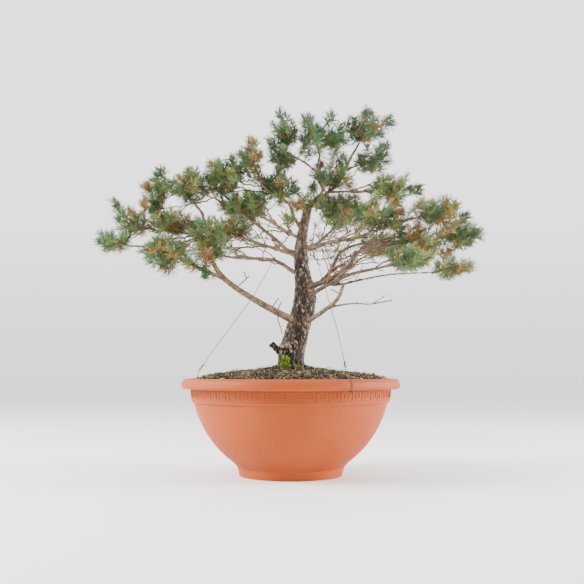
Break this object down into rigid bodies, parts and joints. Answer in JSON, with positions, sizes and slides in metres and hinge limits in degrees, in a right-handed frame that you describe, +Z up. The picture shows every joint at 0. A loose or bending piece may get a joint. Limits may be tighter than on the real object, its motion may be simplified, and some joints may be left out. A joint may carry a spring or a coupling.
{
  "type": "bonsai tree in a pot",
  "caption": "Small pine trained as a bonsai, with a bent trunk and spreading needle foliage, growing in a round terracotta-coloured plastic bowl with guy wires.",
  "frame": {"origin": "middle of the bowl's flat base", "axes": "+Z up; +X to the right of the tree's front, +Y to its back"},
  "size_m": [0.6976, 0.4, 0.6832],
  "materials": {
    "terracotta_plastic": "moulded, satin",
    "soil_mix": "loose bark and grit",
    "old_bark": "flaky bark",
    "young_bark": "smooth young bark",
    "pine_needles": "waxy needles",
    "weed_leaf": "soft leaves",
    "zinc_wire": "dull zinc coated"
  },
  "bodies": {
    "root": {"bowl": "terracotta_plastic", "soil": "soil_mix", "trunk": "old_bark", "leader_left": "young_bark", "leader_left_fork": "young_bark", "leader_right": "young_bark", "leader_right_fork": "young_bark", "limb_back_left": "young_bark", "limb_back_right": "young_bark", "limb_left_back": "young_bark", "limb_left_high": "young_bark", "limb_left_low": "young_bark", "limb_left_low_reach": "young_bark", "limb_left_middle": "young_bark", "limb_left_side": "young_bark", "limb_left_top": "young_bark", "limb_right_back": "young_bark", "limb_right_back_fork": "young_bark", "limb_right_front": "young_bark", "limb_right_high": "young_bark", "limb_right_long": "young_bark", "limb_right_low": "young_bark", "limb_right_low_side": "young_bark", "limb_right_middle": "young_bark", "limb_right_upper": "young_bark", "foliage_back_left": "pine_needles", "foliage_back_right": "pine_needles", "foliage_centre": "pine_needles", "foliage_inner_top": "pine_needles", "foliage_leader": "pine_needles", "foliage_left_back": "pine_needles", "foliage_left_back_low": "pine_needles", "foliage_left_centre": "pine_needles", "foliage_left_high": "pine_needles", "foliage_left_inner": "pine_needles", "foliage_left_low": "pine_needles", "foliage_left_rise": "pine_needles", "foliage_left_shoot": "pine_needles", "foliage_left_side": "pine_needles", "foliage_left_spire": "pine_needles", "foliage_left_tip": "pine_needles", "foliage_left_tip_low": "pine_needles", "foliage_right_back": "pine_needles", "foliage_right_centre": "pine_needles", "foliage_right_low": "pine_needles", "foliage_right_middle": "pine_needles", "foliage_right_outer": "pine_needles", "foliage_right_outer_upper": "pine_needles", "foliage_right_tip_low": "pine_needles", "foliage_right_upper": "pine_needles", "foliage_top_left": "pine_needles", "foliage_top_left_low": "pine_needles", "foliage_top_middle": "pine_needles", "foliage_top_right": "pine_needles", "foliage_top_right_low": "pine_needles", "foliage_top_right_middle": "pine_needles", "weed_tuft": "weed_leaf", "guy_wire_left": "zinc_wire", "guy_wire_right": "zinc_wire"}
  },
  "joints": []
}
